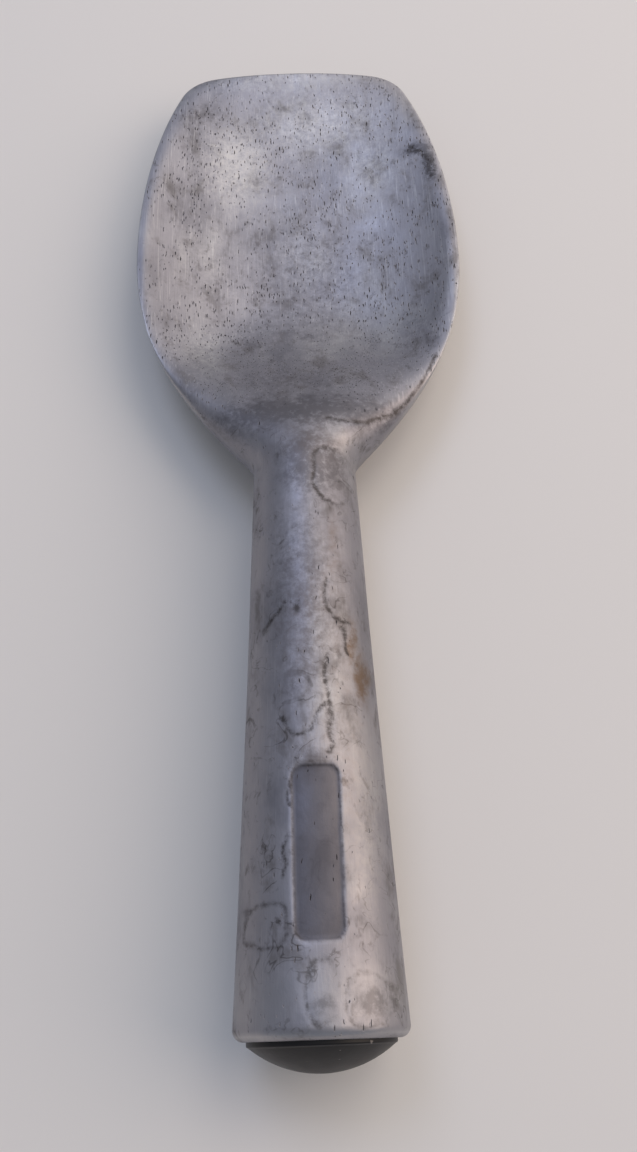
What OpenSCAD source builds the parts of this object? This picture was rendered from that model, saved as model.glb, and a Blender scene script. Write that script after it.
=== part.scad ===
// Ice-cream scoop: one aluminium casting, a dished blade with a straight lip on a hollow handle
// that holds a liquid charge, closed by a bung, a pressed cup and a domed cap.
// The handle runs along Y with its butt at -Y and the lip at +Y. It lies on the belly of the
// blade and the edge of the butt, both at z = 0.

/* [Handle] */
// Length from the butt's face to the neck
handle_len = 97; // [80:0.5:120]
// Diameter at the butt
butt_d = 27.2; // [26:0.1:33]
// Diameter at the neck
neck_d = 19; // [17:0.1:23]
// How far the handle's sides dip inside a straight taper
waist = 0.25; // [0:0.05:0.6]
// Radius that rounds the butt's edge
butt_round = 1.8; // [1:0.1:2]
// Flat ring between the rounded edge and the mouth
butt_land = 0.25; // [0.1:0.05:0.5]

/* [Blade] */
// Length from the neck to the middle of the lip
blade_len = 108.3; // [95:0.1:130]
// Width at the widest place
blade_w = 67.2; // [56:0.1:82]
// Distance from the neck to the widest place
widest_at = 55.5; // [48:0.5:60]
// How quickly the shoulders open from the neck
shoulder_power = 2.25; // [2:0.05:2.6]
// Reach of the curve that draws the sides in towards the lip
side_reach = 70; // [62:0.5:80]
// Radius of the lip's corners
lip_corner = 9.5; // [6:0.5:12]
// How far the middle of the lip stands ahead of its corners
lip_bow = 1; // [0:0.1:3]
// Height of the rim at the sides
rim_h = 12.2; // [11:0.1:15]
// Height of the lip, at the middle of its edge
lip_h = 9.2; // [6:0.1:10.5]
// Distance from the neck to the lowest part of the belly
belly_at = 42; // [36:1:50]

/* [Bowl] */
// Thickness of the floor
floor_t = 3; // [2.5:0.1:4]
// Thickness of the lip
lip_t = 1.8; // [1.4:0.1:2.4]
// Width of the rim
rim_t = 1.1; // [0.8:0.1:2]
// Height of the rim's rounded top over its widest line
rim_crown = 0.7; // [0.4:0.1:1.2]
// Distance from the neck to the crest of the bowl's back wall
crest_at = 10; // [8:0.5:14]
// Distance over which the back wall comes down to the floor
back_run = 42; // [32:0.5:46]
// How steep the back wall is at its crest
back_power = 2; // [1.6:0.1:2.6]
// How upright the side walls are
side_power = 2.4; // [2.2:0.1:3]
// Size of the blend over the crest
crest_blend = 5; // [3:0.5:7]
// Size of the blend inside the rim
rim_blend = 0.7; // [0.4:0.1:1.5]

/* [Cap] */
// Height of the cap's dome beyond the butt's face
cap_dome = 4.6; // [3:0.1:6]
// Upright edge of the cap below its dome
cap_edge = 0.5; // [0.3:0.1:0.8]
// Depth of the cap's skirt in the mouth
cap_skirt = 9; // [6:0.5:12]
// Thickness of the cap's wall
cap_wall = 1.7; // [1.2:0.1:2]
// Clearance round the cap
cap_fit = 0.1; // [0.05:0.01:0.2]

/* [Handle core] */
// Width of the ledge that the cap's skirt meets
cap_ledge = 1.3; // [1:0.1:1.8]
// Depth of the pressed cup
cup_len = 4; // [3:0.5:6]
// Thickness of the pressed cup
cup_wall = 1; // [0.8:0.1:1.5]
// Clearance round the pressed cup
cup_fit = 0.04; // [0.02:0.01:0.1]
// Width of the ledge that the cup meets
cup_ledge = 0.8; // [0.6:0.1:1.2]
// Length of the rubber bung
bung_len = 10; // [8:0.5:14]
// Depth of the grooves between the bung's ribs
bung_groove = 0.6; // [0.4:0.1:1]
// Clearance round the bung's ribs
bung_fit = 0.05; // [0.03:0.01:0.1]
// Width of the ledge that the bung meets
bung_ledge = 0.5; // [0.4:0.1:0.8]
// Metal round the inner end of the liquid's bore
bore_wall = 3.6; // [3:0.1:4.5]
// Solid metal from the end of the bore to the neck
bore_stop = 11; // [8:0.5:20]
// Clearance round the liquid charge
charge_fit = 0.1; // [0.05:0.01:0.2]

/* [Hidden] */

axis_z = butt_d / 2;
butt_r = butt_d / 2;
neck_r = neck_d / 2;
blade_r = blade_w / 2;
wide_u = handle_len + widest_at;      // stations u are measured from the butt's face
belly_u = handle_len + belly_at;
crest_u = handle_len + crest_at;
lip_u = handle_len + blade_len - lip_bow;
middle_y = (handle_len + blade_len - cap_dome) / 2;

shoulder_lag = 1.5;                   // the shoulders leave the handle's line just past the neck
neck_fillet = 2;
crown_run = 38;                       // the handle's top sinks into the rim over this length
keel_lead = 5;                        // and its underside into the belly, from before the neck
drop_run = 60;                        // the rim comes down to the lip over this length
drop_power = 1.6;
keel_power = 1.6;                     // how roundly the underside comes up to the lip
bow_run = 30;
edge_round = 1;                       // the lip's edge is rounded over this length
corner_share = 2.5;                   // how tightly back wall and side walls meet
loop_n = 64;                          // points round a section

cup_u = cap_skirt;
bung_u = cup_u + cup_len;
bore_u = bung_u + bung_len;
bore_end_u = handle_len - bore_stop;
mouth_r = butt_r - butt_round - butt_land;
cup_r = mouth_r - cap_ledge;
bung_r = cup_r - cup_ledge;
bore_r = bung_r - bung_ledge;
bore_end_r = neck_r - bore_wall;

function mix(a, b, t) = a + (b - a) * t;
function clip(t) = max(0, min(1, t));
function ease(t) = let (c = clip(t)) c * c * (3 - 2 * c);
function lower_of(a, b, k) = let (h = max(k - abs(a - b), 0) / k) min(a, b) - h * h * k / 4;
function upper_of(a, b, k) = -lower_of(-a, -b, k);
function span(a, b, n) = [for (i = [1:n]) mix(a, b, i / n)];

// Plan outline of the blade and handle: half the width at station u
function handle_r(u) = mix(butt_r, neck_r, u / handle_len) - waist * sin(180 * clip(u / handle_len));
function shoulder_w(u) =
    let (t = (u - handle_len - shoulder_lag) / (widest_at - shoulder_lag))
    mix(neck_r, blade_r, 1 - pow(max(1 - t, 0), shoulder_power));
function side_w(u) = u < wide_u ? upper_of(handle_r(u), shoulder_w(u), neck_fillet)
                                : blade_r * sqrt(1 - pow((u - wide_u) / side_reach, 2));

// The lip's corner is an arc that leaves the side at the angle of the side itself
corner_u = lip_u - lip_corner;
function side_angle(u) = atan(blade_r * (u - wide_u) / (side_reach * side_reach)
                              / sqrt(1 - pow((u - wide_u) / side_reach, 2)));
function corner_angle(n) = side_angle(n == 0 ? corner_u : corner_u + lip_corner * sin(corner_angle(n - 1)));
corner_from = corner_angle(4);
corner_start_u = corner_u + lip_corner * sin(corner_from);
corner_x = side_w(corner_start_u) - lip_corner * cos(corner_from);
function corner_w(u) = corner_x + sqrt(max(pow(lip_corner, 2) - pow(u - corner_u, 2), 0));
function butt_cut(u) = u < butt_round ? butt_round - sqrt(pow(butt_round, 2) - pow(butt_round - u, 2)) : 0;
function half_w(u) = u < handle_len / 2 ? handle_r(u) - butt_cut(u)
                   : u < corner_start_u ? side_w(u) : corner_w(u);

// Heights at station u: the widest line, the underside on the centre line, and the top
function to_lip(u, run) = clip((u - lip_u + run) / run);
function edge_z(u) = mix(mix(axis_z, rim_h, ease((u - handle_len) / crown_run)), lip_h,
                         pow(to_lip(u, drop_run), drop_power));
function keel_z(u) = u < belly_u
    ? mix(axis_z - handle_r(u), 0, ease((u - handle_len + keel_lead) / (belly_at + keel_lead)))
    : (lip_h - lip_t / 2) * pow((u - belly_u) / (lip_u - belly_u), keel_power);
function lip_fade(u) = u < lip_u - edge_round ? 1 : sqrt(1 - pow((u - lip_u + edge_round) / edge_round, 2));
function down(u) = (edge_z(u) - keel_z(u) - butt_cut(u)) * lip_fade(u);
function up(u) = (mix(mix(handle_r(u) - butt_cut(u), rim_crown, ease((u - handle_len + 2) / crown_run)),
                      lip_t / 2, to_lip(u, drop_run / 3))) * lip_fade(u);

// The bowl: a floor that rises into side walls and a back wall
function floor_z(u) = keel_z(u) + mix(floor_t, lip_t, ease(to_lip(u, drop_run)));
function side_rise(x, u) = max(edge_z(u) + rim_crown - floor_z(u), 0)
                           * pow(abs(x) / (half_w(u) - rim_t), side_power);
function back_rise(u) = (axis_z + neck_r - floor_z(crest_u))
                        * pow(max(0, (crest_u + back_run - u) / back_run), back_power);
function bowl_z(x, u) = floor_z(u) + pow(pow(side_rise(x, u), corner_share) + pow(back_rise(u), corner_share),
                                         1 / corner_share);
function blend(u) = mix(mix(crest_blend, rim_blend, ease((u - crest_u) / back_run)), rim_blend / 5,
                        to_lip(u, edge_round * 12));
function top_z(x, u, rise) = lower_of(edge_z(u) + up(u) * rise, bowl_z(x, u), blend(u));

function section(u) = [
    for (i = [0:loop_n - 1])
        let (a = 360 * i / loop_n, x = half_w(u) * cos(a),
             y = u + lip_bow * (1 - pow(cos(a), 2)) * ease(to_lip(u, bow_run)))
        [x, y, a < 180 ? top_z(x, u, sin(a)) : edge_z(u) + down(u) * sin(a)]];

butt_steps = [for (a = [0:15:90]) butt_round * (1 - cos(a))];
corner_steps = [for (a = span(corner_from, 86, 9)) corner_u + lip_corner * sin(a)];
stations = concat(butt_steps, span(butt_round, handle_len - 5, 9), span(handle_len - 5, crest_u + 8, 16),
                  span(crest_u + 8, corner_start_u, 38), corner_steps);
ring_n = len(stations);

// Skin through all the sections, closed by a flat face at the butt and a narrow strip along the lip
module casting_skin() {
    points = [for (u = stations) each section(u)];
    sides = [for (r = [0:ring_n - 2], i = [0:loop_n - 1])
        let (j = (i + 1) % loop_n, a = r * loop_n + i, b = r * loop_n + j, c = a + loop_n, d = b + loop_n)
        each [[a, b, c], [b, d, c]]];
    butt_face = [for (i = [loop_n - 1:-1:0]) i];
    e = (ring_n - 1) * loop_n;
    half_n = loop_n / 2;
    lip_strip = concat([[e, e + 1, e + loop_n - 1]],
                       [for (i = [1:half_n - 2]) [e + i, e + i + 1, e + loop_n - i - 1, e + loop_n - i]],
                       [[e + half_n - 1, e + half_n, e + half_n + 1]]);
    polyhedron(points, concat(sides, [butt_face], lip_strip), convexity = 6);
}

// Turns a shape revolved about Z, with z as the station, onto the handle's axis
module on_handle_axis() {
    translate([0, 0, axis_z]) rotate([-90, 0, 0]) rotate_extrude($fn = 96) children();
}

// Half section of the liquid's bore, drawn inwards by gap on every side
module bore_half(gap) {
    r1 = bore_r - gap;
    r2 = bore_end_r - gap;
    polygon(concat([[0, bore_u + gap], [r1, bore_u + gap]],
                   [for (a = [0:10:90]) [r2 * cos(a), bore_end_u - bore_end_r + r2 * sin(a)]]));
}

module handle_hollow() {
    on_handle_axis() {
        polygon([[0, -1], [mouth_r, -1], [mouth_r, cup_u], [cup_r, cup_u], [cup_r, bung_u],
                 [bung_r, bung_u], [bung_r, bore_u], [0, bore_u]]);
        bore_half(0);
    }
}

module in_frame() {
    translate([0, -middle_y, 0]) children();
}

module cast_body() {
    color("#9a9a9c") in_frame() difference() {
        casting_skin();
        handle_hollow();
    }
}

module heat_fluid() {
    color("#7fb2c8") in_frame() on_handle_axis() bore_half(charge_fit);
}

// Bung with three sealing ribs
module rubber_bung() {
    r = bung_r - bung_fit;
    rib = bung_len / 5;
    color("#2c2c2e") in_frame() on_handle_axis()
        polygon(concat([[0, bung_u]],
                       [for (i = [0:4]) let (x = i % 2 == 0 ? r : r - bung_groove)
                           each [[x, bung_u + i * rib], [x, bung_u + (i + 1) * rib]]],
                       [[0, bore_u]]));
}

// Pressed cup, open towards the cap
module core_plug() {
    r = cup_r - cup_fit;
    color("#b9bcc0") in_frame() on_handle_axis()
        polygon([[0, bung_u - cup_wall], [r - cup_wall, bung_u - cup_wall], [r - cup_wall, cup_u],
                 [r, cup_u], [r, bung_u], [0, bung_u]]);
}

// Domed cap with a hollow skirt
module end_cap() {
    r = mouth_r - cap_fit;
    rise = cap_dome - cap_edge;
    dome_r = (r * r + rise * rise) / (2 * rise);
    dome_a = asin(r / dome_r);
    inner_r = r - cap_wall;
    inner_a = asin(inner_r / (dome_r - cap_wall));
    centre_u = dome_r - cap_dome;
    color("#3a3434") in_frame() on_handle_axis()
        polygon(concat([for (a = span(0, dome_a, 16)) [dome_r * sin(a), centre_u - dome_r * cos(a)]],
                       [[r, cup_u], [inner_r, cup_u]],
                       [for (a = span(inner_a, 0, 12)) [(dome_r - cap_wall) * sin(a),
                                                        centre_u - (dome_r - cap_wall) * cos(a)]],
                       [[0, -cap_dome]]));
}

cast_body();
heat_fluid();
rubber_bung();
core_plug();
end_cap();
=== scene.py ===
import math

import bpy
import numpy as np
from mathutils import Matrix, Vector, noise


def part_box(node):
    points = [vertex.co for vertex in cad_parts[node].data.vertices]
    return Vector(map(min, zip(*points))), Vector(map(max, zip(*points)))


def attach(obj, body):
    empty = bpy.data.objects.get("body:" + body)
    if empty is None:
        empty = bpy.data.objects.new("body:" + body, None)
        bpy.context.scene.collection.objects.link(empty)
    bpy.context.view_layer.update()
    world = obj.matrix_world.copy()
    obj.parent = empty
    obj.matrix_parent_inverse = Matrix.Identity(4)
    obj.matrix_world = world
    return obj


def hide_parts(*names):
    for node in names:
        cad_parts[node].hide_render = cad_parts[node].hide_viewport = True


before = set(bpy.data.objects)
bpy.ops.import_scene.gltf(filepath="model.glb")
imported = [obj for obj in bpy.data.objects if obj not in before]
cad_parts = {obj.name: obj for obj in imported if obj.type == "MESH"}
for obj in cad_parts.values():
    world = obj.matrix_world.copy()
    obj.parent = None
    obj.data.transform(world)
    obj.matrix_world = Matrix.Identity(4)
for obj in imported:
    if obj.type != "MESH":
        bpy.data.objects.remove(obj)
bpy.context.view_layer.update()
mm = 0.001
print("frame loaded")


def linearColour(hexText):
    # sRGB hex to the linear values that Blender's sockets take
    parts = [int(hexText[i:i + 2], 16) / 255 for i in (1, 3, 5)]
    return tuple(p / 12.92 if p <= 0.04045 else ((p + 0.055) / 1.055) ** 2.4 for p in parts) + (1,)


def addNode(tree, kind, inputs=None, out=0, **settings):
    # one node with its settings: an output given as an input is linked, anything else is a value
    node = tree.nodes.new(kind)
    for name, value in settings.items():
        setattr(node, name, value)
    for key, value in (inputs or {}).items():
        if isinstance(value, bpy.types.NodeSocket):
            tree.links.new(value, node.inputs[key])
        else:
            node.inputs[key].default_value = value
    return node.outputs[out] if node.outputs else node


def newMaterial(name):
    material = bpy.data.materials.new(name)
    material.use_nodes = True
    material.node_tree.nodes.clear()
    return material, material.node_tree


def newPiece(name, mesh, material):
    piece = bpy.data.objects.new(name, mesh)
    bpy.context.scene.collection.objects.link(piece)
    piece.data.materials.append(material)
    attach(piece, "root")
    return piece


def ease(t):
    inside = np.clip(t, 0, 1)
    return inside * inside * (3 - 2 * inside)


def mix(a, b, t):
    return a + (b - a) * t


def span(a, b, n):
    return [mix(a, b, i / n) for i in range(1, n + 1)]


# The casting's form in millimetres. Stations, called u, run from the butt's face to the lip.
casting = dict(
    handleLength=97, buttDiameter=27.2, neckDiameter=19, waist=0.25, buttRound=1.8, buttLand=0.25,
    bladeLength=108.3, bladeWidth=67.2, widestAt=55.5, shoulderPower=2.25, sideReach=70,
    lipCorner=9.5, lipBow=1, rimHeight=12.2, lipHeight=9.2, bellyAt=42,
    floorThickness=3, lipThickness=1.8, rimWidth=1.1, rimCrown=0.7,
    crestAt=10, backRun=42, backPower=2, sidePower=2.4, crestBlend=5, rimBlend=0.7,
    shoulderLag=1.5, neckFillet=2, crownRun=38, keelLead=5, dropRun=60, dropPower=1.6, keelPower=1.6,
    bowRun=30, edgeRound=1, cornerShare=2.5,
    loopPoints=208, handleRings=176, neckRings=64, bladeRings=160, cornerRings=20,
    unevenness=0.11,                                # how far the hand-ground surface wanders
    slowWave=(15, 27, 15), quickWave=(5, 9, 5), quickShare=0.3,
    markWave=(3, 4, 3), markDrift=(0.9, 1.1),       # how far the marks wander, across and along
)

# Steps in the handle's hollow, from the mouth inwards, in millimetres
core = dict(mouthBevel=0.12, capSkirt=9, capLedge=1.3, cupLength=4, cupLedge=0.8, bungLength=10,
            bungLedge=0.5, boreWall=3.6, boreStop=11)

c = casting
buttR = c["buttDiameter"] / 2
neckR = c["neckDiameter"] / 2
bladeR = c["bladeWidth"] / 2
axisZ = buttR
wideU = c["handleLength"] + c["widestAt"]
bellyU = c["handleLength"] + c["bellyAt"]
crestU = c["handleLength"] + c["crestAt"]
lipU = c["handleLength"] + c["bladeLength"] - c["lipBow"]
mouthR = buttR - c["buttRound"] - c["buttLand"]
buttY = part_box("cast_body")[0][1] / mm              # the butt's face, where station 0 lies


def lowerOf(a, b, k):
    # the lower of two heights, blended over k where they meet
    h = np.maximum(k - np.abs(a - b), 0) / k
    return np.minimum(a, b) - h * h * k / 4


def handleRadius(u):
    t = u / c["handleLength"]
    return mix(buttR, neckR, t) - c["waist"] * np.sin(math.pi * np.clip(t, 0, 1))


def shoulderWidth(u):
    t = (u - c["handleLength"] - c["shoulderLag"]) / (c["widestAt"] - c["shoulderLag"])
    return mix(neckR, bladeR, 1 - np.maximum(1 - t, 0) ** c["shoulderPower"])


def sideWidth(u):
    back = -lowerOf(-handleRadius(u), -shoulderWidth(u), c["neckFillet"])
    front = bladeR * np.sqrt(np.maximum(1 - ((u - wideU) / c["sideReach"]) ** 2, 0.01))
    return np.where(u < wideU, back, front)


def sideAngle(u):
    t = (u - wideU) / c["sideReach"]
    return math.atan(bladeR * t / c["sideReach"] / math.sqrt(1 - t * t))


# The lip's corner is an arc that leaves the side at the angle of the side itself
cornerU = lipU - c["lipCorner"]
cornerFrom = sideAngle(cornerU)
for step in range(4):
    cornerFrom = sideAngle(cornerU + c["lipCorner"] * math.sin(cornerFrom))
cornerStartU = cornerU + c["lipCorner"] * math.sin(cornerFrom)
cornerX = float(sideWidth(np.array(cornerStartU))) - c["lipCorner"] * math.cos(cornerFrom)


def buttCut(u):
    r = c["buttRound"]
    return np.where(u < r, r - np.sqrt(np.maximum(r * r - (r - u) ** 2, 0)), 0)


def halfWidth(u):
    corner = cornerX + np.sqrt(np.maximum(c["lipCorner"] ** 2 - (u - cornerU) ** 2, 0))
    blade = np.where(u < cornerStartU, sideWidth(u), corner)
    return np.where(u < c["handleLength"] / 2, handleRadius(u) - buttCut(u), blade)


def toLip(u, run):
    return np.clip((u - lipU + run) / run, 0, 1)


def edgeHeight(u):
    blade = mix(axisZ, c["rimHeight"], ease((u - c["handleLength"]) / c["crownRun"]))
    return mix(blade, c["lipHeight"], toLip(u, c["dropRun"]) ** c["dropPower"])


def keelHeight(u):
    back = mix(axisZ - handleRadius(u), 0,
               ease((u - c["handleLength"] + c["keelLead"]) / (c["bellyAt"] + c["keelLead"])))
    front = np.maximum(u - bellyU, 0) / (lipU - bellyU)
    front = (c["lipHeight"] - c["lipThickness"] / 2) * front ** c["keelPower"]
    return np.where(u < bellyU, back, front)


def lipFade(u):
    run = c["edgeRound"]
    return np.sqrt(np.maximum(1 - (np.maximum(u - lipU + run, 0) / run) ** 2, 0))


def below(u):
    return (edgeHeight(u) - keelHeight(u) - buttCut(u)) * lipFade(u)


def above(u):
    crown = ease((u - c["handleLength"] + 2) / c["crownRun"])
    top = mix(handleRadius(u) - buttCut(u), c["rimCrown"], crown)
    return mix(top, c["lipThickness"] / 2, toLip(u, c["dropRun"] / 3)) * lipFade(u)


def bowlHeight(x, u):
    # a floor that rises into the side walls and the back wall
    floor = keelHeight(u) + mix(c["floorThickness"], c["lipThickness"], ease(toLip(u, c["dropRun"])))
    crestFloor = float(keelHeight(np.array(crestU))) + c["floorThickness"]
    side = np.maximum(edgeHeight(u) + c["rimCrown"] - floor, 0)
    side = side * (np.abs(x) / (halfWidth(u) - c["rimWidth"])) ** c["sidePower"]
    back = np.maximum(0, (crestU + c["backRun"] - u) / c["backRun"]) ** c["backPower"]
    back = (axisZ + neckR - crestFloor) * back
    share = c["cornerShare"]
    return floor + (side ** share + back ** share) ** (1 / share)


def blendSize(u):
    bowl = mix(c["crestBlend"], c["rimBlend"], ease((u - crestU) / c["backRun"]))
    return mix(bowl, c["rimBlend"] / 5, toLip(u, 12 * c["edgeRound"]))


def skinPoints(u, a):
    # a point of the outside for each station u and angle a round the section
    w = halfWidth(u)
    x = w * np.cos(a)
    y = u + c["lipBow"] * (1 - np.cos(a) ** 2) * ease(toLip(u, c["bowRun"]))
    blank = edgeHeight(u) + above(u) * np.sin(a)
    top = lowerOf(blank, bowlHeight(x, u), blendSize(u))
    z = np.where(np.sin(a) > 0, top, edgeHeight(u) + below(u) * np.sin(a))
    return np.stack([x, y, z], -1)


def skinStations():
    butt = [c["buttRound"] * (1 - math.cos(t)) for t in span(0, math.pi / 2, 12)]
    handle = span(c["buttRound"], c["handleLength"] - 5, c["handleRings"])
    neck = span(c["handleLength"] - 5, crestU + 8, c["neckRings"])
    blade = span(crestU + 8, cornerStartU, c["bladeRings"])
    corner = [cornerU + c["lipCorner"] * math.sin(t)
              for t in span(cornerFrom, math.radians(88), c["cornerRings"])]
    return np.array([0.0] + butt + handle + neck + blade + corner)


def hollowProfile():
    # radius and station of the handle's hollow: seats for cap, cup and bung, then the liquid's bore
    cupU = core["capSkirt"]
    bungU = cupU + core["cupLength"]
    boreU = bungU + core["bungLength"]
    boreEnd = c["handleLength"] - core["boreStop"]
    cupR = mouthR - core["capLedge"]
    bungR = cupR - core["cupLedge"]
    boreR = bungR - core["bungLedge"]
    endR = neckR - core["boreWall"]
    domeU = boreEnd - endR                          # the bore ends in half a ball
    bevel = core["mouthBevel"]
    profile = [(mouthR + bevel, 0), (mouthR, bevel)]
    profile += [(mouthR, u) for u in span(0, cupU, 3)]
    profile += [(cupR, cupU), (cupR, bungU), (bungR, bungU), (bungR, boreU), (boreR, boreU)]
    profile += [(mix(boreR, endR, t), mix(boreU, domeU, t)) for t in span(0, 1, 10)]
    profile += [(endR * math.cos(t), domeU + endR * math.sin(t)) for t in span(0, math.radians(87), 7)]
    return profile


# Marks left by casting and by use, with painted shade and painted highlight among them, as (across, station)
# in millimetres on the upper side. A seam is a line and its half width.
marks = dict(
    panel=dict(centre=(0.2, 26.3), halfSize=(4.1, 13.4), corner=2.2, depth=0.32, slope=0.75),
    # the crease where the bowl meets the right shoulder: a shallow dent, and its dark line is painted shade
    crease=[(4.5, 104.9), (7.6, 104.4), (12.3, 105.2), (16.9, 108.4), (20.5, 112.1), (24.6, 118.9),
            (26.8, 124.4)],
    creaseWidth=0.55, creaseDepth=0.12, seamDepth=0.05,
    seams=[                                         # where the metal met as it flowed in, and a last smear
        ([(3.6, 71.5), (3.4, 70.3), (2.6, 67.1), (4.2, 64.9), (6.2, 63.4)], 0.48),
        ([(2.6, 57.5), (2.5, 53.0), (2.8, 49.8), (3.0, 45.3), (3.4, 43.0), (2.5, 41.2)], 0.50),
        ([(-7.6, 62.6), (-6.0, 65.2), (-3.8, 67.4), (-2.1, 67.2), (-2.1, 65.3)], 0.42),
        ([(-4.6, 47.6), (-4.1, 46.0), (-2.6, 44.7), (-0.2, 45.7), (2.0, 49.0)], 0.44),
        ([(-4.2, 28.4), (-5.0, 26.8), (-4.6, 24.9), (-5.2, 22.9)], 0.40),
        ([(-3.2, 37.0), (-4.4, 35.4), (-4.2, 33.6)], 0.40),
        ([(5.2, 62.5), (5.6, 60.0), (6.4, 58.0)], 0.40),
        ([(29.8, 171.5), (29.6, 175.5), (28.2, 179.0), (25.4, 180.8)], 0.95),
    ],
    rings=[                                         # centre, half size, half width, strength, from which side
        dict(centre=(4.9, 92.3), size=(3.9, 5.6), width=0.55, strength=1.0, side=-1),
        dict(centre=(-8.1, 15.6), size=(3.3, 3.2), width=0.5, strength=0.95, side=0),
        dict(centre=(7.1, 4.9), size=(3.5, 3.7), width=0.42, strength=0.85, side=0),
        dict(centre=(7.1, 4.6), size=(2.5, 2.6), width=0.3, strength=0.5, side=0),
        dict(centre=(0.6, 6.0), size=(2.7, 4.3), width=0.45, strength=0.85, side=-1),
    ],
    stainsAndShade=[                                        # centre, half size, strength; real stains, with broad darkening painted as shade over the crest, the neck and the blade's middle
        ((-2.6, 72), (3.0, 12), 0.55), ((-2.8, 53.5), (2.0, 6), 0.6), ((7.2, 4.6), (2.3, 2.1), 1.0),
        ((0.4, 4.4), (1.8, 1.4), 0.9), ((1.0, 92.2), (0.7, 1.0), 0.9), ((-11.2, 17.8), (0.8, 0.7), 0.9),
        ((29.4, 175.8), (1.5, 4.8), 1.0), ((27.0, 180.2), (3.6, 1.8), 1.0), ((3.0, 160.6), (1.2, 6.4), 0.6),
        ((-5.8, 151.3), (2.0, 2.0), 0.55), ((-10.1, 131.6), (1.9, 2.4), 0.6), ((1.2, 134.6), (2.6, 1.6), 0.6),
        ((4.3, 147.2), (3.2, 1.8), 0.5), ((25.9, 128.5), (1.8, 3.0), 0.6), ((-3.4, 136.6), (4.5, 1.5), 0.5),
        ((-2.0, 118.0), (16, 5.5), 0.42), ((-19.5, 193.0), (7, 5.0), 0.45), ((4.0, 202.0), (18, 2.0), 0.25),
        ((0.5, 40.5), (2.8, 2.2), 0.55), ((23.0, 136.0), (4.5, 5.0), 0.35), ((-0.5, 70.0), (6, 22), 0.6),
        ((0, 107.5), (20, 5.2), 1.0), ((15, 108.5), (7, 3.5), 0.6), ((1.5, 95), (6, 9), 0.95),
        ((-22, 156), (6, 16), 0.3), ((2, 150), (17, 23), 0.46), ((-17, 150), (7, 18), 0.32),
    ],
    # pale patches: painted highlight over the blade's upper part, the lip, the left wall and the handle's
    # right side; the thin one at (-16.9, 185.7) is a real scratch
    pale=[
        ((-12.5, 180.5), (8, 12), 0.9), ((5, 191), (19, 11), 0.6), ((17, 178), (8, 13), 0.5),
        ((0, 203), (24, 4), 0.6), ((-19, 128), (5, 12), 0.5), ((-16.9, 185.7), (3.4, 0.5), 0.8),
        ((8.0, 30), (3, 20), 0.4),
    ],
    browns=[
        ((0, 62), (7, 18), 0.3), ((4, 45), (9, 50), 0.3), ((2, 99), (8, 7), 0.3),
        ((6.9, 60.0), (1.3, 4.5), 0.8), ((8.4, 54.5), (1.4, 5.0), 1.0), ((4.6, 78.0), (1.6, 9.0), 0.4),
        ((-11, 182), (12, 15), 0.30),
    ],
)


# Where handling has rubbed the metal bright, and how far from there it fades, in millimetres; on the butt's
# rounded edge and the grip beside it the brightening is also painted highlight
wearAndHighlight = dict(rimReach=0.5, lipReach=0.9, buttEdge=0.7, buttReach=0.8, gripU=6, gripReach=8, gripShare=0.5)


def onPanel(x, u):
    # 1 on the floor of the sunk panel on the handle, falling to 0 over its sloping edge
    p = marks["panel"]
    outX = np.maximum(np.abs(x - p["centre"][0]) - p["halfSize"][0] + p["corner"], 0)
    outU = np.maximum(np.abs(u - p["centre"][1]) - p["halfSize"][1] + p["corner"], 0)
    return ease((p["corner"] - np.hypot(outX, outU)) / p["slope"])


def nearLine(x, u, line, width):
    # 1 on a line through the given points, falling to 0 a few widths away
    nearest = np.full(x.shape, 1e9)
    for (x0, u0), (x1, u1) in zip(line, line[1:]):
        along = ((x - x0) * (x1 - x0) + (u - u0) * (u1 - u0)) / ((x1 - x0) ** 2 + (u1 - u0) ** 2)
        along = np.clip(along, 0, 1)
        nearest = np.minimum(nearest, np.hypot(x - mix(x0, x1, along), u - mix(u0, u1, along)))
    return np.exp(-(nearest / width) ** 2)


def nearRing(x, u, ring):
    dx = (x - ring["centre"][0]) / ring["size"][0]
    du = (u - ring["centre"][1]) / ring["size"][1]
    away = (np.hypot(dx, du) - 1) * min(ring["size"])
    onSide = np.clip(0.75 + 0.6 * ring["side"] * dx, 0.12, 1)
    return ring["strength"] * onSide * np.exp(-(away / ring["width"]) ** 2)


def nearSpots(x, u, spots):
    total = np.zeros(x.shape)
    for (x0, u0), (halfX, halfU), strength in spots:
        total = np.maximum(total, strength * np.exp(-((x - x0) / halfX) ** 2 - ((u - u0) / halfU) ** 2))
    return total


def wander(points, steps, seed):
    # smooth noise at each point, with features of the given sizes in millimetres along X, Y and Z
    scaled = points / np.array(steps) + seed
    return np.array([noise.noise(Vector(p)) for p in scaled])


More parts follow.
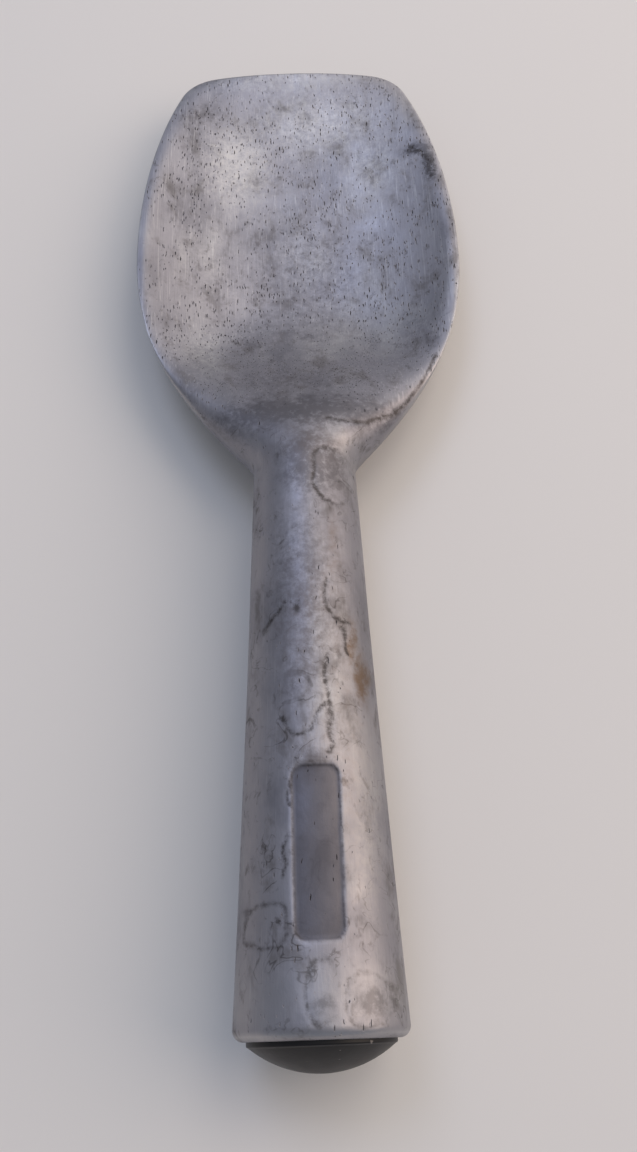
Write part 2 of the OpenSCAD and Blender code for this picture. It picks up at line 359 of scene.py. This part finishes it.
def makeCasting():
    n = c["loopPoints"]
    angles = np.arange(n) * 2 * math.pi / n
    u, a = np.meshgrid(skinStations(), angles, indexing="ij")
    skin = skinPoints(u, a).reshape(-1, 3)
    u, a = u.ravel(), a.ravel()
    hollow = hollowProfile()[::-1]
    inner = np.array([(r * math.cos(t), v, axisZ + r * math.sin(t)) for r, v in hollow for t in angles])

    # the surface rises and falls slowly where it was ground and polished by hand: outwards on the
    # handle and nearly upright on the blade, less at the edges and not at all on the butt's face
    radial = np.stack([skin[:, 0], np.zeros(len(skin)), (skin[:, 2] - edgeHeight(u)) * 2], -1)
    radial[:, 2] += 6 * (u > crestU) * np.sign(np.sin(a))
    radial /= np.linalg.norm(radial, axis=1)[:, None] + 1e-9
    rise = wander(skin, c["slowWave"], 0) + c["quickShare"] * wander(skin, c["quickWave"], 9.5)
    settle = ease((u - 1.5) / 6) * (0.35 + 0.65 * ease((halfWidth(u) - np.abs(skin[:, 0]) + 4) / 8))
    lift = c["unevenness"] * rise * settle

    # marks wander a little, so no line is straight and no ring is round
    x = skin[:, 0] + c["markDrift"][0] * wander(skin, c["markWave"], 3.3)
    v = skin[:, 1] + c["markDrift"][1] * wander(skin, c["markWave"], 5.1)
    upper = ease(np.sin(a) * 4)
    panel = upper * onPanel(mix(skin[:, 0], x, 0.12), mix(skin[:, 1], v, 0.12))
    crease = nearLine(mix(skin[:, 0], x, 0.3), mix(skin[:, 1], v, 0.3), marks["crease"], marks["creaseWidth"])
    crease = upper * crease
    lines = sum(nearLine(x, v, line, width) for line, width in marks["seams"])
    lines = lines + sum(nearRing(x, v, ring) for ring in marks["rings"])
    lines = upper * np.clip(lines, 0, 1)
    lift = lift - marks["panel"]["depth"] * panel - marks["creaseDepth"] * crease
    lift = lift - marks["seamDepth"] * lines
    skin += radial * lift[:, None]
    skin[:, 2] = np.maximum(skin[:, 2], 0.01)       # it stands on the floor and never sinks into it

    # how near each point is to the rim, the lip or the butt
    onBlade = ease((u - c["handleLength"] - 6) / 12)
    rim = np.exp(-halfWidth(u) * (1 - np.abs(np.cos(a))) / wearAndHighlight["rimReach"])
    rim = np.maximum(rim, np.exp(-np.maximum(lipU - u, 0) / wearAndHighlight["lipReach"])) * onBlade
    # the butt's rounded edge and the grip beside it: worn, and brightened in colour as painted highlight
    butt = np.exp(-np.abs(u - wearAndHighlight["buttEdge"]) / wearAndHighlight["buttReach"])
    butt = np.maximum(butt, wearAndHighlight["gripShare"] * np.exp(-((u - wearAndHighlight["gripU"]) / wearAndHighlight["gripReach"]) ** 2))
    rim = np.maximum(rim, butt * (u > 0.1))         # the butt's flat face keeps its dull skin
    # real stains, and painted shade darkening the crest, the neck and the blade's middle
    stainsAndShade = upper * nearSpots(x, v, marks["stainsAndShade"])
    grime = 0.75 * 4 * panel * (1 - panel)          # dirt held along the panel's sloping edge
    # the crease's dark line is painted shade, joined to the seams and rings, which are marks in the metal
    seams = np.maximum(np.maximum(lines, 0.9 * crease), grime)
    # the pale patches are painted highlight, apart from one real scratch
    layers = dict(rimWearAndHighlight=rim, onBlade=onBlade, seamsAndCreaseShade=seams, darkStainAndShade=stainsAndShade,
                  brownStain=upper * nearSpots(x, v, marks["browns"]),
                  scratchAndHighlight=upper * nearSpots(x, v, marks["pale"]), panelFloor=panel)

    points = np.concatenate([inner, skin])
    ringCount = len(points) // n
    faces = []
    for r in range(ringCount - 1):
        for i in range(n):
            j = (i + 1) % n
            faces.append((r * n + i, r * n + j, (r + 1) * n + j, (r + 1) * n + i))
    faces.append(tuple(range(n - 1, -1, -1)))       # closed end of the bore
    last = (ringCount - 1) * n
    for i in range(n // 2):                         # the lip's edge, from the upper side to the underside
        corners = [last + i, last + i + 1, last + n - i - 1, last + (n - i) % n]
        faces.append(tuple(dict.fromkeys(corners)))
    points[:, 1] += buttY
    mesh = bpy.data.meshes.new("castingMesh")
    mesh.from_pydata((points * mm).tolist(), [], faces)
    for name, values in layers.items():
        layer = mesh.attributes.new(name, "FLOAT", "POINT")
        whole = np.concatenate([np.zeros(len(inner)), values])
        layer.data.foreach_set("value", whole.astype(np.float32))
    mesh.shade_smooth()
    mesh.set_sharp_from_angle(angle=math.radians(42))
    return mesh


# Aluminium, sand cast, ground lengthwise and worn by years of use. The eye sees a dull grey with a soft
# sheen, its lilac tint a painted reflection of a blue surround, hair-fine brushing along it, hundreds of
# short dark pits that hold dirt, cloudy stains with painted shade and painted highlight among them, and a
# paler rim and lip where hands have rubbed it, with painted highlight on the butt's edge.
castAluminium = dict(
    # the base's lilac tint is painted reflection of a blue surround
    base="#9b999e", deep="#6e6c70", brown="#776453", pit="#222124", seamAndShade="#4a4645", panel="#615f64",
    bright="#cfcdcb",
    rough=(0.44, 0.62),
    clouds=[                                        # colour, step across and along in mm, from, to, strength
        ("#bcbab9", 30, 44, 0.48, 0.70, 0.60), ("#828187", 15, 22, 0.46, 0.68, 0.75),
        ("#6b6765", 5.5, 8, 0.52, 0.72, 0.62), ("#565251", 2.0, 3.0, 0.57, 0.74, 0.60),
    ],
    brushes=[                                       # hairs are finer on the real one; these just show
        ("#dddbda", 0.32, 18, 0.52, 0.74, 0.30), ("#545256", 0.28, 13, 0.53, 0.76, 0.30),
    ],
    pits=[                                          # cell across and along in mm, radius, share, strength
        (0.58, 3.9, 0.17, 0.95, 0.95), (0.42, 2.4, 0.20, 0.80, 0.80), (1.3, 2.3, 0.12, 0.45, 0.95),
    ],
    painted=[                                       # layer of the mesh, colour, from, to, patchiness
        ("scratchAndHighlight", "bright", 0.05, 1.3, 0.45), ("darkStainAndShade", "deep", 0.04, 0.95, 0.55),
        ("brownStain", "brown", 0.06, 1.1, 0.35), ("panelFloor", "panel", 0.0, 0.8, 0.12),
        ("seamsAndCreaseShade", "seamAndShade", 0.10, 1.30, 0.55),
    ],
    handleShare=0.35,                               # brushing and pits on the handle, beside the blade's
    flowStep=6.5,                                   # size of the curls in the handle's skin
    flowLine=(0.003, 0.014), flowWhere=(0.47, 0.62), flowShare=0.85,
    bendStep=2.4, bendShift=0.9,                    # pits and curls are bent this far, over this distance
    gritStep=1.3,                                   # size of the flecks that break up the stains
    crowdStep=13, crowding=(0.35, 1.5),             # the pits thicken and thin out over this distance
    rimFrom=0.3, rimShare=0.4, rimSmooth=-0.3,      # the rubbed rim is smoother, and brighter from wear and from painted highlight on the butt's rounded edge
    pitTurn=-9,                                     # degrees that the pits lean from the handle's line
    pitDepth=0.10, pitShare=-1.6, brushShare=0.12,  # parts of the bump, beside the small clouds
)
midNoise = {"From Min": 0.35, "From Max": 0.65}     # most of a noise's values lie between these


def castAluminiumMaterial():
    m = castAluminium
    material, tree = newMaterial("worn_cast_aluminium")
    place = addNode(tree, "ShaderNodeTexCoord", out="Object")
    bend = addNode(tree, "ShaderNodeTexNoise", {"Vector": place, "Scale": 1 / (m["bendStep"] * mm),
                                                "Detail": 3.0}, out=1)
    bend = addNode(tree, "ShaderNodeVectorMath", {0: bend, 1: (0.5, 0.5, 0.5)}, operation="SUBTRACT")
    bent = addNode(tree, "ShaderNodeVectorMath", {0: bend, 1: (m["bendShift"] * mm,) * 3, 2: place},
                   operation="MULTIPLY_ADD")
    colour = addNode(tree, "ShaderNodeRGB")
    colour.default_value = linearColour(m["base"])
    blade = addNode(tree, "ShaderNodeAttribute", out="Fac", attribute_name="onBlade")
    blade = addNode(tree, "ShaderNodeMapRange", {"Value": blade, "To Min": m["handleShare"], "To Max": 1.0})

    # clouds and brushing: stretched noise, each layer mixed over the last; the handle is less brushed
    shades = {}
    for index, (shade, across, along, low, high, strength) in enumerate(m["clouds"] + m["brushes"]):
        steps = addNode(tree, "ShaderNodeMapping", {
            "Vector": place, "Location": (index * 3.7, index * 1.9, 0),
            "Scale": (1 / (across * mm), 1 / (along * mm), 1 / (across * mm))})
        cloud = addNode(tree, "ShaderNodeTexNoise", {"Vector": steps, "Scale": 1.0, "Detail": 5.0,
                                                     "Roughness": 0.62, "Distortion": 0.3})
        shades[index] = cloud
        mask = addNode(tree, "ShaderNodeMapRange", {"Value": cloud, "From Min": low, "From Max": high,
                                                    "To Max": strength}, interpolation_type="SMOOTHSTEP")
        if index >= len(m["clouds"]):
            mask = addNode(tree, "ShaderNodeMath", {0: mask, 1: blade}, operation="MULTIPLY")
        colour = addNode(tree, "ShaderNodeMix", {0: mask, 6: colour, 7: linearColour(shade)}, out=2,
                         data_type="RGBA")

    # curled hairlines left in the handle's skin by the flowing metal: contours of a slow noise
    flow = addNode(tree, "ShaderNodeTexNoise", {"Vector": bent, "Scale": 1 / (m["flowStep"] * mm),
                                                "Detail": 2.5, "Roughness": 0.6, "Distortion": 0.8})
    flow = addNode(tree, "ShaderNodeMath", {0: flow, 1: 0.5}, operation="SUBTRACT")
    flow = addNode(tree, "ShaderNodeMath", {0: flow}, operation="ABSOLUTE")
    flow = addNode(tree, "ShaderNodeMapRange", {"Value": flow, "From Min": m["flowLine"][0],
                                                "From Max": m["flowLine"][1], "To Min": 1.0, "To Max": 0.0})
    some = addNode(tree, "ShaderNodeMapRange", {"Value": shades[2], "From Min": m["flowWhere"][0],
                                                "From Max": m["flowWhere"][1], "To Max": m["flowShare"]})
    flow = addNode(tree, "ShaderNodeMath", {0: flow, 1: some}, operation="MULTIPLY")
    bare = addNode(tree, "ShaderNodeMath", {0: 1.1, 1: blade}, operation="SUBTRACT")
    flow = addNode(tree, "ShaderNodeMath", {0: flow, 1: bare}, operation="MULTIPLY")
    colour = addNode(tree, "ShaderNodeMix", {0: flow, 6: colour, 7: linearColour(m["seamAndShade"])}, out=2,
                     data_type="RGBA")

    # stains, seams and rings painted on the mesh, with painted shade over the crest, neck and blade's middle
    # and along the crease, and painted highlight over the blade and handle, broken up by the small clouds
    grit = addNode(tree, "ShaderNodeTexNoise", {"Vector": bent, "Scale": 1 / (m["gritStep"] * mm),
                                                "Detail": 6.0, "Roughness": 0.7})
    for layer, shade, low, high, patchy in m["painted"]:
        amount = addNode(tree, "ShaderNodeAttribute", out="Fac", attribute_name=layer)
        broken = addNode(tree, "ShaderNodeMapRange", {"Value": grit, "To Min": 1 - patchy,
                                                      "To Max": 1 + patchy, **midNoise})
        amount = addNode(tree, "ShaderNodeMath", {0: amount, 1: broken}, operation="MULTIPLY")
        mask = addNode(tree, "ShaderNodeMapRange", {"Value": amount, "From Min": low, "From Max": high,
                                                    "To Max": 0.9}, interpolation_type="SMOOTHSTEP")
        colour = addNode(tree, "ShaderNodeMix", {0: mask, 6: colour, 7: linearColour(m[shade])}, out=2,
                         data_type="RGBA")

    # pits: one small dark lens in some cells of a stretched Voronoi pattern, thicker in places
    crowd = addNode(tree, "ShaderNodeTexNoise", {"Vector": place, "Scale": 1 / (m["crowdStep"] * mm),
                                                 "Detail": 3.0})
    crowd = addNode(tree, "ShaderNodeMapRange", {"Value": crowd, "To Min": m["crowding"][0],
                                                 "To Max": m["crowding"][1], **midNoise})
    crowd = addNode(tree, "ShaderNodeMath", {0: crowd, 1: blade}, operation="MULTIPLY")
    hollows = 0.0
    for index, (across, along, radius, share, strength) in enumerate(m["pits"]):
        cells = addNode(tree, "ShaderNodeMapping", {
            "Vector": bent, "Location": (index * 5.3, index * 2.7, 0),
            "Rotation": (0, 0, math.radians(m["pitTurn"])),
            "Scale": (1 / (across * mm), 1 / (along * mm), 1 / (across * mm))})
        away = addNode(tree, "ShaderNodeTexVoronoi", {"Vector": cells, "Scale": 1.0})
        chance = addNode(tree, "ShaderNodeSeparateColor", {0: away.node.outputs["Color"]})
        size = addNode(tree, "ShaderNodeMath", {0: share, 1: crowd}, operation="MULTIPLY")
        size = addNode(tree, "ShaderNodeMath", {0: size, 1: chance}, operation="SUBTRACT")
        size = addNode(tree, "ShaderNodeMapRange", {"Value": size, "From Min": 0.0, "From Max": 0.3,
                                                    "To Max": radius})
        inside = addNode(tree, "ShaderNodeMath", {0: size, 1: away}, operation="SUBTRACT")
        mask = addNode(tree, "ShaderNodeMapRange", {"Value": inside, "From Min": -0.02, "From Max": 0.06,
                                                    "To Max": strength}, interpolation_type="SMOOTHSTEP")
        hollows = addNode(tree, "ShaderNodeMath", {0: hollows, 1: mask}, operation="MAXIMUM")
    colour = addNode(tree, "ShaderNodeMix", {0: hollows, 6: colour, 7: linearColour(m["pit"])}, out=2,
                     data_type="RGBA")

    # the rim and lip paler from wear; on the butt's rounded edge and the grip beside it the paler colour is
    # also painted highlight
    rim = addNode(tree, "ShaderNodeAttribute", out="Fac", attribute_name="rimWearAndHighlight")
    rim = addNode(tree, "ShaderNodeMapRange", {"Value": rim, "From Min": m["rimFrom"], "From Max": 1.0,
                                               "To Max": m["rimShare"]})
    colour = addNode(tree, "ShaderNodeMix", {0: rim, 6: colour, 7: linearColour(m["bright"])}, out=2,
                     data_type="RGBA")
    rough = addNode(tree, "ShaderNodeMapRange", {"Value": shades[2], "From Min": 0.3, "From Max": 0.7,
                                                 "To Min": m["rough"][0], "To Max": m["rough"][1]})
    rough = addNode(tree, "ShaderNodeMath", {0: rim, 1: m["rimSmooth"], 2: rough}, operation="MULTIPLY_ADD")
    height = addNode(tree, "ShaderNodeMath", {0: shades[4], 1: m["brushShare"], 2: shades[3]},
                     operation="MULTIPLY_ADD")
    height = addNode(tree, "ShaderNodeMath", {0: hollows, 1: m["pitShare"], 2: height},
                     operation="MULTIPLY_ADD")
    bump = addNode(tree, "ShaderNodeBump", {"Height": height, "Strength": 0.6,
                                            "Distance": m["pitDepth"] * mm})
    shader = addNode(tree, "ShaderNodeBsdfPrincipled", {"Base Color": colour, "Metallic": 1.0,
                                                        "Roughness": rough, "Normal": bump})
    addNode(tree, "ShaderNodeOutputMaterial", {"Surface": shader})
    return material


scoopCasting = newPiece("scoop_casting", makeCasting(), castAluminiumMaterial())
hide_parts("cast_body")
print("casting built,", len(scoopCasting.data.polygons), "faces")

# The domed cap in millimetres: it leans a little in the mouth, so its seam is wider on one side
capForm = dict(dome=4.6, edge=0.5, skirt=9, wall=1.7, gap=0.1, edgeRound=0.3, skirtBevel=0.2, lean=0.35,
               sides=160)


def makeCap():
    p = capForm
    r = mouthR - p["gap"]
    rise = p["dome"] - p["edge"]
    domeR = (r * r + rise * rise) / (2 * rise)
    centre = domeR - p["dome"]
    insideR = domeR - p["wall"]
    edgeAngle = math.asin((r - p["edgeRound"]) / domeR)
    profile = [(domeR * math.sin(t), centre - domeR * math.cos(t)) for t in span(0, edgeAngle, 40)]
    edgeX, edgeU = profile[-1]
    profile += [(mix(edgeX, r, math.sin(t)), edgeU + p["edgeRound"] * (1 - math.cos(t)))
                for t in span(0, math.pi / 2, 6)]
    bevel = p["skirtBevel"]
    skirtR = r - p["wall"]
    profile += [(r, 1.5), (r, 5), (r, p["skirt"] - bevel), (r - bevel, p["skirt"]),
                (skirtR + bevel, p["skirt"]), (skirtR, p["skirt"] - bevel)]
    profile += [(insideR * math.sin(t), centre - insideR * math.cos(t))
                for t in span(math.asin(skirtR / insideR), 0, 12)[:-1]]
    n = p["sides"]
    turns = [2 * math.pi * i / n for i in range(n)]
    points = [(0, -p["dome"], 0)]
    for radius, u in profile:
        points += [(radius * math.cos(t), u, radius * math.sin(t)) for t in turns]
    points.append((0, centre - insideR, 0))
    faces = [(0, 1 + (i + 1) % n, 1 + i) for i in range(n)]
    for k in range(len(profile) - 1):
        a, b = 1 + k * n, 1 + (k + 1) * n
        faces += [(a + i, a + (i + 1) % n, b + (i + 1) % n, b + i) for i in range(n)]
    a = 1 + (len(profile) - 1) * n
    faces += [(a + i, a + (i + 1) % n, len(points) - 1) for i in range(n)]
    capMesh = bpy.data.meshes.new("capMesh")
    capMesh.from_pydata([tuple(q * mm for q in point) for point in points], [], faces)
    lean = Matrix.Rotation(math.radians(p["lean"]), 4, "Z")
    capMesh.transform(Matrix.Translation((0, buttY * mm, axisZ * mm)) @ lean)
    capMesh.shade_smooth()
    capMesh.set_sharp_from_angle(angle=math.radians(50))
    return capMesh


# Phenolic, moulded: near black gone brown-grey, satin, with a few pale specks of dust
capPlastic = dict(name="moulded_phenolic", base="#0f0d0d", worn="#211d1c", speck="#8d8680", wornStep=9,
                  speckStep=1.1, speckFrom=0.72, rough=(0.36, 0.52), grain=0.7, depth=0.04,
                  metallic=0.0, ior=1.55, shine=0.3)
# Aluminium sheet, pressed: bright, a little duller in slow clouds
pressedAluminium = dict(name="pressed_aluminium_sheet", base="#c9cacc", worn="#a3a5a8", speck="#86888c",
                        wornStep=5, speckStep=0.7, speckFrom=0.70, rough=(0.24, 0.38), grain=0.4,
                        depth=0.02, metallic=1.0, ior=None)
# Natural rubber, moulded: matt black with a bloom
bungRubber = dict(name="moulded_rubber", base="#232325", worn="#3b3a3b", speck="#5a5858", wornStep=4,
                  speckStep=0.6, speckFrom=0.68, rough=(0.72, 0.86), grain=0.35, depth=0.05,
                  metallic=0.0, ior=1.52, shine=0.4)
# Glycol and water: a pale blue liquid, glossy, seen only if the handle is cut open
chargeLiquid = dict(name="glycol_liquid", base="#8fb6c4", worn="#7fa8b8", speck="#b9d2da", wornStep=12,
                    speckStep=1.6, speckFrom=0.74, rough=(0.05, 0.10), grain=3.0, depth=0.01,
                    metallic=0.0, ior=1.38, shine=0.5)


def mouldedMaterial(m):
    # a surface out of a mould or a press: two tones in slow clouds, a few specks and a fine grain
    material, tree = newMaterial(m["name"])
    place = addNode(tree, "ShaderNodeTexCoord", out="Object")
    clouds = addNode(tree, "ShaderNodeTexNoise", {"Vector": place, "Scale": 1 / (m["wornStep"] * mm),
                                                  "Detail": 6.0, "Roughness": 0.65})
    specks = addNode(tree, "ShaderNodeTexNoise", {"Vector": place, "Scale": 1 / (m["speckStep"] * mm),
                                                  "Detail": 2.0})
    grain = addNode(tree, "ShaderNodeTexNoise", {"Vector": place, "Scale": 1 / (m["grain"] * mm),
                                                 "Detail": 3.0})
    amount = addNode(tree, "ShaderNodeMapRange", {"Value": clouds, "From Min": 0.45, "From Max": 0.72,
                                                  "To Max": 0.8}, interpolation_type="SMOOTHSTEP")
    colour = addNode(tree, "ShaderNodeMix", {0: amount, 6: linearColour(m["base"]),
                                             7: linearColour(m["worn"])}, out=2, data_type="RGBA")
    amount = addNode(tree, "ShaderNodeMapRange", {"Value": specks, "From Min": m["speckFrom"],
                                                  "From Max": m["speckFrom"] + 0.05, "To Max": 0.7})
    colour = addNode(tree, "ShaderNodeMix", {0: amount, 6: colour, 7: linearColour(m["speck"])}, out=2,
                     data_type="RGBA")
    rough = addNode(tree, "ShaderNodeMapRange", {"Value": clouds, "From Min": 0.3, "From Max": 0.7,
                                                 "To Min": m["rough"][0], "To Max": m["rough"][1]})
    bump = addNode(tree, "ShaderNodeBump", {"Height": grain, "Strength": 0.4, "Distance": m["depth"] * mm})
    inputs = {"Base Color": colour, "Metallic": m["metallic"], "Roughness": rough, "Normal": bump}
    if m["ior"]:
        inputs["IOR"] = m["ior"]
        inputs["Specular IOR Level"] = m["shine"]
    addNode(tree, "ShaderNodeOutputMaterial", {"Surface": addNode(tree, "ShaderNodeBsdfPrincipled", inputs)})
    return material


domedCap = newPiece("domed_cap", makeCap(), mouldedMaterial(capPlastic))
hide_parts("end_cap")
handleCore = dict(heat_fluid=chargeLiquid, rubber_bung=bungRubber, core_plug=pressedAluminium)
for node, finish in handleCore.items():
    bpy.data.objects[node].material_slots[0].material = mouldedMaterial(finish)
print("cap and handle core finished")

# The camera stands above the butt and looks down and forward along the scoop: across from the centre
# line, ahead of the butt's face and up from the floor in millimetres, tilt and turn in degrees
view = dict(across=-0.515, ahead=0.014, up=188, tilt=23.64, turn=-1.83, filmHeight=24, lens=22.0833)
camera = bpy.data.objects.new("camera", bpy.data.cameras.new("camera"))
bpy.context.scene.collection.objects.link(camera)
camera.data.sensor_fit = "VERTICAL"
camera.data.sensor_height = view["filmHeight"]
camera.data.lens = view["lens"]
camera.data.clip_start = 0.005
camera.location = (view["across"] * mm, (buttY + view["ahead"]) * mm, view["up"] * mm)
camera.rotation_euler = (math.radians(view["tilt"]), 0, math.radians(view["turn"]))
bpy.context.scene.camera = camera

# Plain pale matt floor, in metres
floorSize = 12
floorMesh = bpy.data.meshes.new("floorMesh")
half = floorSize / 2
floorCorners = [(-half, -half, 0), (half, -half, 0), (half, half, 0), (-half, half, 0)]
floorMesh.from_pydata(floorCorners, [], [(0, 1, 2, 3)])
floor = bpy.data.objects.new("floor", floorMesh)
bpy.context.scene.collection.objects.link(floor)
floorMaterial, floorTree = newMaterial("pale_floor")
floorShader = addNode(floorTree, "ShaderNodeBsdfPrincipled", {"Base Color": linearColour("#dedbd6"),
                                                              "Roughness": 0.8})
addNode(floorTree, "ShaderNodeOutputMaterial", {"Surface": floorShader})
floorMesh.materials.append(floorMaterial)

# Soft studio light: place and size in metres, power in watts
lights = dict(
    overhead=dict(place=(0.10, 0.50, 1.20), size=1.9, power=3.0, colour="#f7f5f5"),
    frontWarm=dict(place=(0.38, 0.46, 1.05), size=0.5, power=1.7, colour="#fff1e2"),
    frontCool=dict(place=(-0.30, 0.52, 1.05), size=0.5, power=2.1, colour="#c8d8ff"),
    farLow=dict(place=(0.55, 1.15, 0.50), size=0.9, power=2.3, colour="#fdf3ea"),
    warmRight=dict(place=(0.95, 0.06, 0.66), size=1.1, power=6.6, colour="#ffe9d6"),
)
for name, light in lights.items():
    lamp = bpy.data.objects.new(name, bpy.data.lights.new(name, "AREA"))
    bpy.context.scene.collection.objects.link(lamp)
    lamp.data.shape = "DISK"
    lamp.data.size = light["size"]
    lamp.data.energy = light["power"]
    lamp.data.color = linearColour(light["colour"])[:3]
    lamp.location = light["place"]
    lamp.rotation_euler = (-Vector(light["place"])).to_track_quat("-Z", "Y").to_euler()
room = dict(colour="#b4bac8", strength=0.62)
world = bpy.data.worlds.new("room")
world.use_nodes = True
world.node_tree.nodes["Background"].inputs[0].default_value = linearColour(room["colour"])
world.node_tree.nodes["Background"].inputs[1].default_value = room["strength"]
bpy.context.scene.world = world
bpy.context.scene.view_settings.view_transform = "Standard"
print("camera, floor and lights placed")
